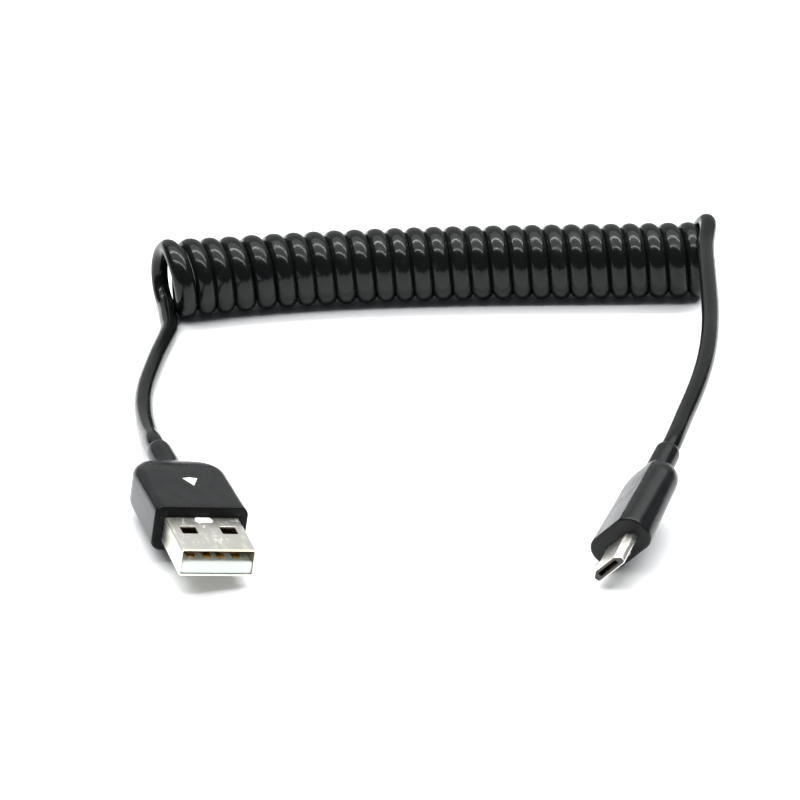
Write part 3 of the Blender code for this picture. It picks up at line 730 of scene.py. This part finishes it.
def microShell():
    size = shellB
    rows = shellRows(microOutline(), microOutline() * inward(size["wall"]), size["length"])
    shell = sleevePiece("microShell", inPlug(plugB, rows), nickelB)
    middle = (latchB["from"] + latchB["to"]) / 2
    hookSize = (latchB["halfWidth"] * 2 + 0.2, latchB["to"] - latchB["from"] + 0.3)
    cutOut(shell, [planBlock(plugB, (side, middle), hookSize, 0.1, -1.5, -0.5, nickelB)
                   for side in (-latchB["side"], latchB["side"])])
    softEdges(shell, 0.05)
    return seat(shell, "micro_shell")


# The factors that draw the micro outline in by a distance on each axis.
def inward(distance):
    return 1 - distance / np.abs(microOutline()).max(0)


def microInsert():
    size = shellB
    outline = microOutline() * inward(size["wall"] + 0.02)
    rows = loft(np.stack([outline] * 3), [size["recess"], size["recess"] + 0.2, size["length"]])
    insert = solidPiece("microInsert", inPlug(plugB, rows), grey)
    wide, high = size["slot"]
    slot = roundedBox(wide / 2, high / 2, high / 2, 0.15, 5) + (0, size["lift"])
    slotRows = loft(np.stack([slot, slot]), [-1.0, size["slotDeep"]])
    cutOut(insert, [solidPiece("slotCutter", inPlug(plugB, slotRows), grey)])
    softEdges(insert, 0.06)
    return seat(insert, "micro_insert")


def microContacts():
    level = shellB["lift"] - shellB["slot"][1] / 2 + contactsB["halfThick"]
    start = contactsB["from"]
    path = [(start, level - 0.05), (start + 0.3, level), (3.0, level + 0.03), (contactsB["to"], level)]
    made = []
    for number in range(5):
        side = (number - 2) * contactsB["pitch"]
        rows = stripRows(path, side, contactsB["halfWidth"], contactsB["halfThick"])
        strip = solidPiece(f"microContact{number + 1}", inPlug(plugB, rows), gilt)
        made.append(seat(strip, f"micro_contact_{number + 1}"))
    return made


# Each spring hook rises out of its slot and back: a sine of the share along it, to the power 1.3.
def microLatches():
    share = np.linspace(0, 1, 15)
    rise = latchB["rise"] * np.sin(np.pi * share) ** 1.3
    along = latchB["from"] + share * (latchB["to"] - latchB["from"])
    path = np.column_stack([along, shellB["lift"] - 0.8 - rise])
    made = []
    for name, side in (("left", -latchB["side"]), ("right", latchB["side"])):
        rows = stripRows(path, side, latchB["halfWidth"], latchB["halfThick"])
        hook = solidPiece(f"microLatch{name.title()}", inPlug(plugB, rows), nickelB)
        made.append(seat(hook, f"micro_latch_{name}"))
    return made


usbAOvermould()
usbAShell()
usbATongue()
print("USB-A plug made")
microPieces = [microOvermould(), microShell(), microInsert(), *microContacts(), *microLatches()]
print("micro plug made")

floorMade = Shader("paleFloor").finish(Base_Color=(0.93, 0.94, 0.95, 1.0), Roughness=0.55)
reach = 3.0
floorMesh = bpy.data.meshes.new("floor")
floorCorners = [(-reach, -reach, 0), (reach, -reach, 0), (reach, reach, 0), (-reach, reach, 0)]
floorMesh.from_pydata(floorCorners, [], [(0, 1, 2, 3)])
floorMesh.materials.append(floorMade.material)
floor = bpy.data.objects.new("floor", floorMesh)
bpy.context.scene.collection.objects.link(floor)


def softLight(name, size, place, aimAt, brightness, colour=(1.0, 1.0, 1.0), mirrored=True):
    lamp = bpy.data.lights.new(name, "AREA")
    lamp.shape = "RECTANGLE"
    lamp.size, lamp.size_y = size
    lamp.energy = brightness * size[0] * size[1] * math.pi  # brightness is the panel's own radiance
    lamp.color = colour
    held = bpy.data.objects.new(name, lamp)
    held.location = place
    held.rotation_euler = (Vector(aimAt) - Vector(place)).to_track_quat("-Z", "Y").to_euler()
    held.visible_glossy = mirrored  # a fill light shows in no reflection
    bpy.context.scene.collection.objects.link(held)


softLight("ceiling", (1.5, 0.75), (0.0, 0.26, 0.70), (0.0, 0.26, 0.0), 2.3)
softLight("fill", (1.8, 1.4), (0.0, 0.10, 0.80), (0.0, 0.10, 0.0), 0.3, mirrored=False)
softLight("tubeFar", (1.3, 0.028), (0.0, 0.215, 0.66), (0.0, 0.08, 0.0), 42.0)
softLight("tubeNear", (1.3, 0.028), (0.0, -0.19, 0.66), (0.0, 0.04, 0.0), 35.0)
softLight("backWall", (3.2, 1.5), (0.0, 1.60, 0.80), (0.0, 0.05, 0.10), 0.54, (1.0, 1.0, 0.98))
world = bpy.data.worlds.new("studio")
world.use_nodes = True
world.node_tree.nodes["Background"].inputs[0].default_value = (0.74, 0.87, 1.0, 1.0)
world.node_tree.nodes["Background"].inputs[1].default_value = 0.09
bpy.context.scene.world = world
bpy.context.scene.view_settings.view_transform = "Standard"
print("studio set")
